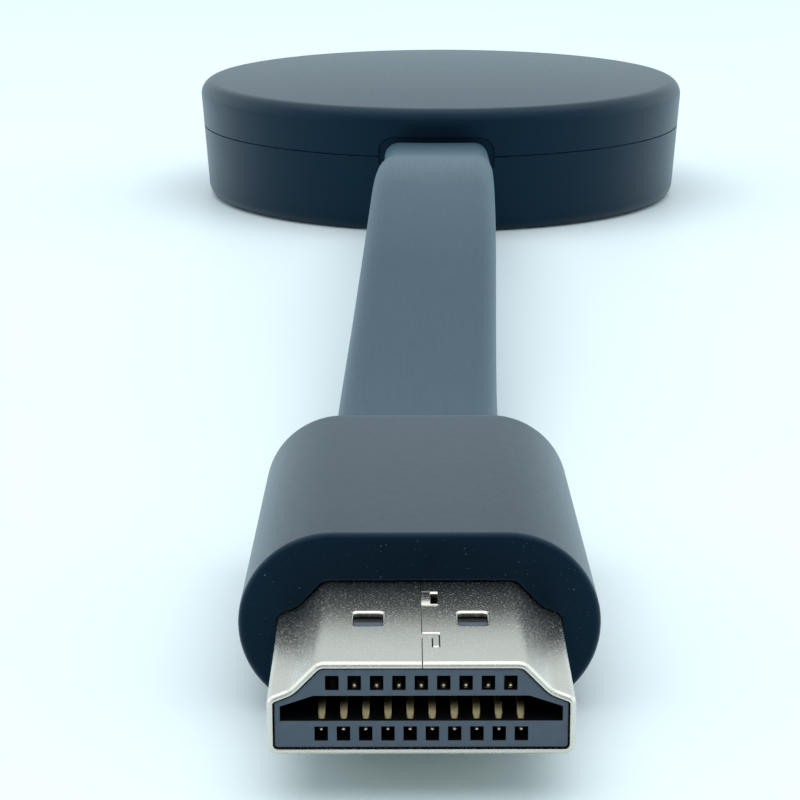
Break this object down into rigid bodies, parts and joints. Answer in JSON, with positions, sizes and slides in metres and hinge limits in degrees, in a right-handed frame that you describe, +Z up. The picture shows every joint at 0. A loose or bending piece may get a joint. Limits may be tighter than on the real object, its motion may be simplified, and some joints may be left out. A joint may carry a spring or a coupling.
{
  "type": "wireless display dongle",
  "caption": "Round wireless display receiver with a power inlet, on a short flat cable that ends in a display plug.",
  "frame": {"origin": "centre of the round body's underside, on the surface it rests on", "axes": "+Z up, -Y from the round body along the cable towards the display plug, +Y towards the power inlet"},
  "size_m": [0.0518, 0.1859, 0.0132],
  "materials": {
    "cover_plastic": "fine satin moulded",
    "circuit_board": "solder mask",
    "screw_steel": "plated",
    "can_sheet": "tinned sheet",
    "spreader_aluminium": "rolled",
    "pad_silicone": "matte",
    "chip_epoxy": "moulded",
    "ceramic_parts": "fired",
    "antenna_brass": "stamped",
    "inlet_steel": "stamped",
    "inlet_plastic": "moulded",
    "contact_gold": "gold plated",
    "button_plastic": "moulded",
    "switch_plastic": "moulded",
    "plunger_plastic": "moulded",
    "lamp_resin": "clear resin",
    "clear_pipe": "clear moulded",
    "soft_rubber": "soft moulded",
    "clamp_plastic": "moulded",
    "socket_plastic": "moulded",
    "wire_insulation": "extruded",
    "cable_jacket": "satin extruded",
    "overmold_plastic": "satin moulded",
    "plug_nickel": "nickel plated",
    "insulator_plastic": "moulded"
  },
  "bodies": {
    "root": {"top_cover": "cover_plastic", "bottom_cover": "cover_plastic", "main_board": "circuit_board", "board_screws": "screw_steel", "upper_shield_can": "can_sheet", "lower_shield_can": "can_sheet", "heat_spreader": "spreader_aluminium", "thermal_pads": "pad_silicone", "processor_chip": "chip_epoxy", "memory_chip": "chip_epoxy", "flash_chip": "chip_epoxy", "wireless_chip": "chip_epoxy", "crystal": "can_sheet", "board_parts": "ceramic_parts", "left_antenna": "antenna_brass", "right_antenna": "antenna_brass", "power_inlet_shell": "inlet_steel", "power_inlet_tongue": "inlet_plastic", "power_inlet_contacts": "contact_gold", "switch_body": "switch_plastic", "status_light": "lamp_resin", "light_pipe": "clear_pipe", "cable_grommet": "soft_rubber", "cable_clamp": "clamp_plastic", "clamp_screws": "screw_steel", "board_socket": "socket_plastic", "body_wires": "wire_insulation", "ribbon_cable": "cable_jacket", "plug_overmold": "overmold_plastic", "plug_shell": "plug_nickel", "plug_insulator": "insulator_plastic", "plug_contacts_lower": "contact_gold", "plug_contacts_upper": "contact_gold", "plug_board": "circuit_board", "plug_shield_can": "can_sheet", "plug_wires": "wire_insulation"},
    "reset_button": {"reset_button": "button_plastic"},
    "switch_plunger": {"switch_plunger": "plunger_plastic"}
  },
  "joints": [
    {"name": "reset_button_press", "type": "slide", "parent": "root", "child": "reset_button", "axis": [-0.3746, -0.9272, 0], "range_m": [0, 0.0003], "stiffness_N_per_m": 500},
    {"name": "switch_plunger_press", "type": "slide", "parent": "root", "child": "switch_plunger", "axis": [-0.3746, -0.9272, 0], "range_m": [0, 0.0003]}
  ],
  "couplings": [
    {"joint": "switch_plunger_press", "follows": "reset_button_press", "ratio": 1}
  ]
}
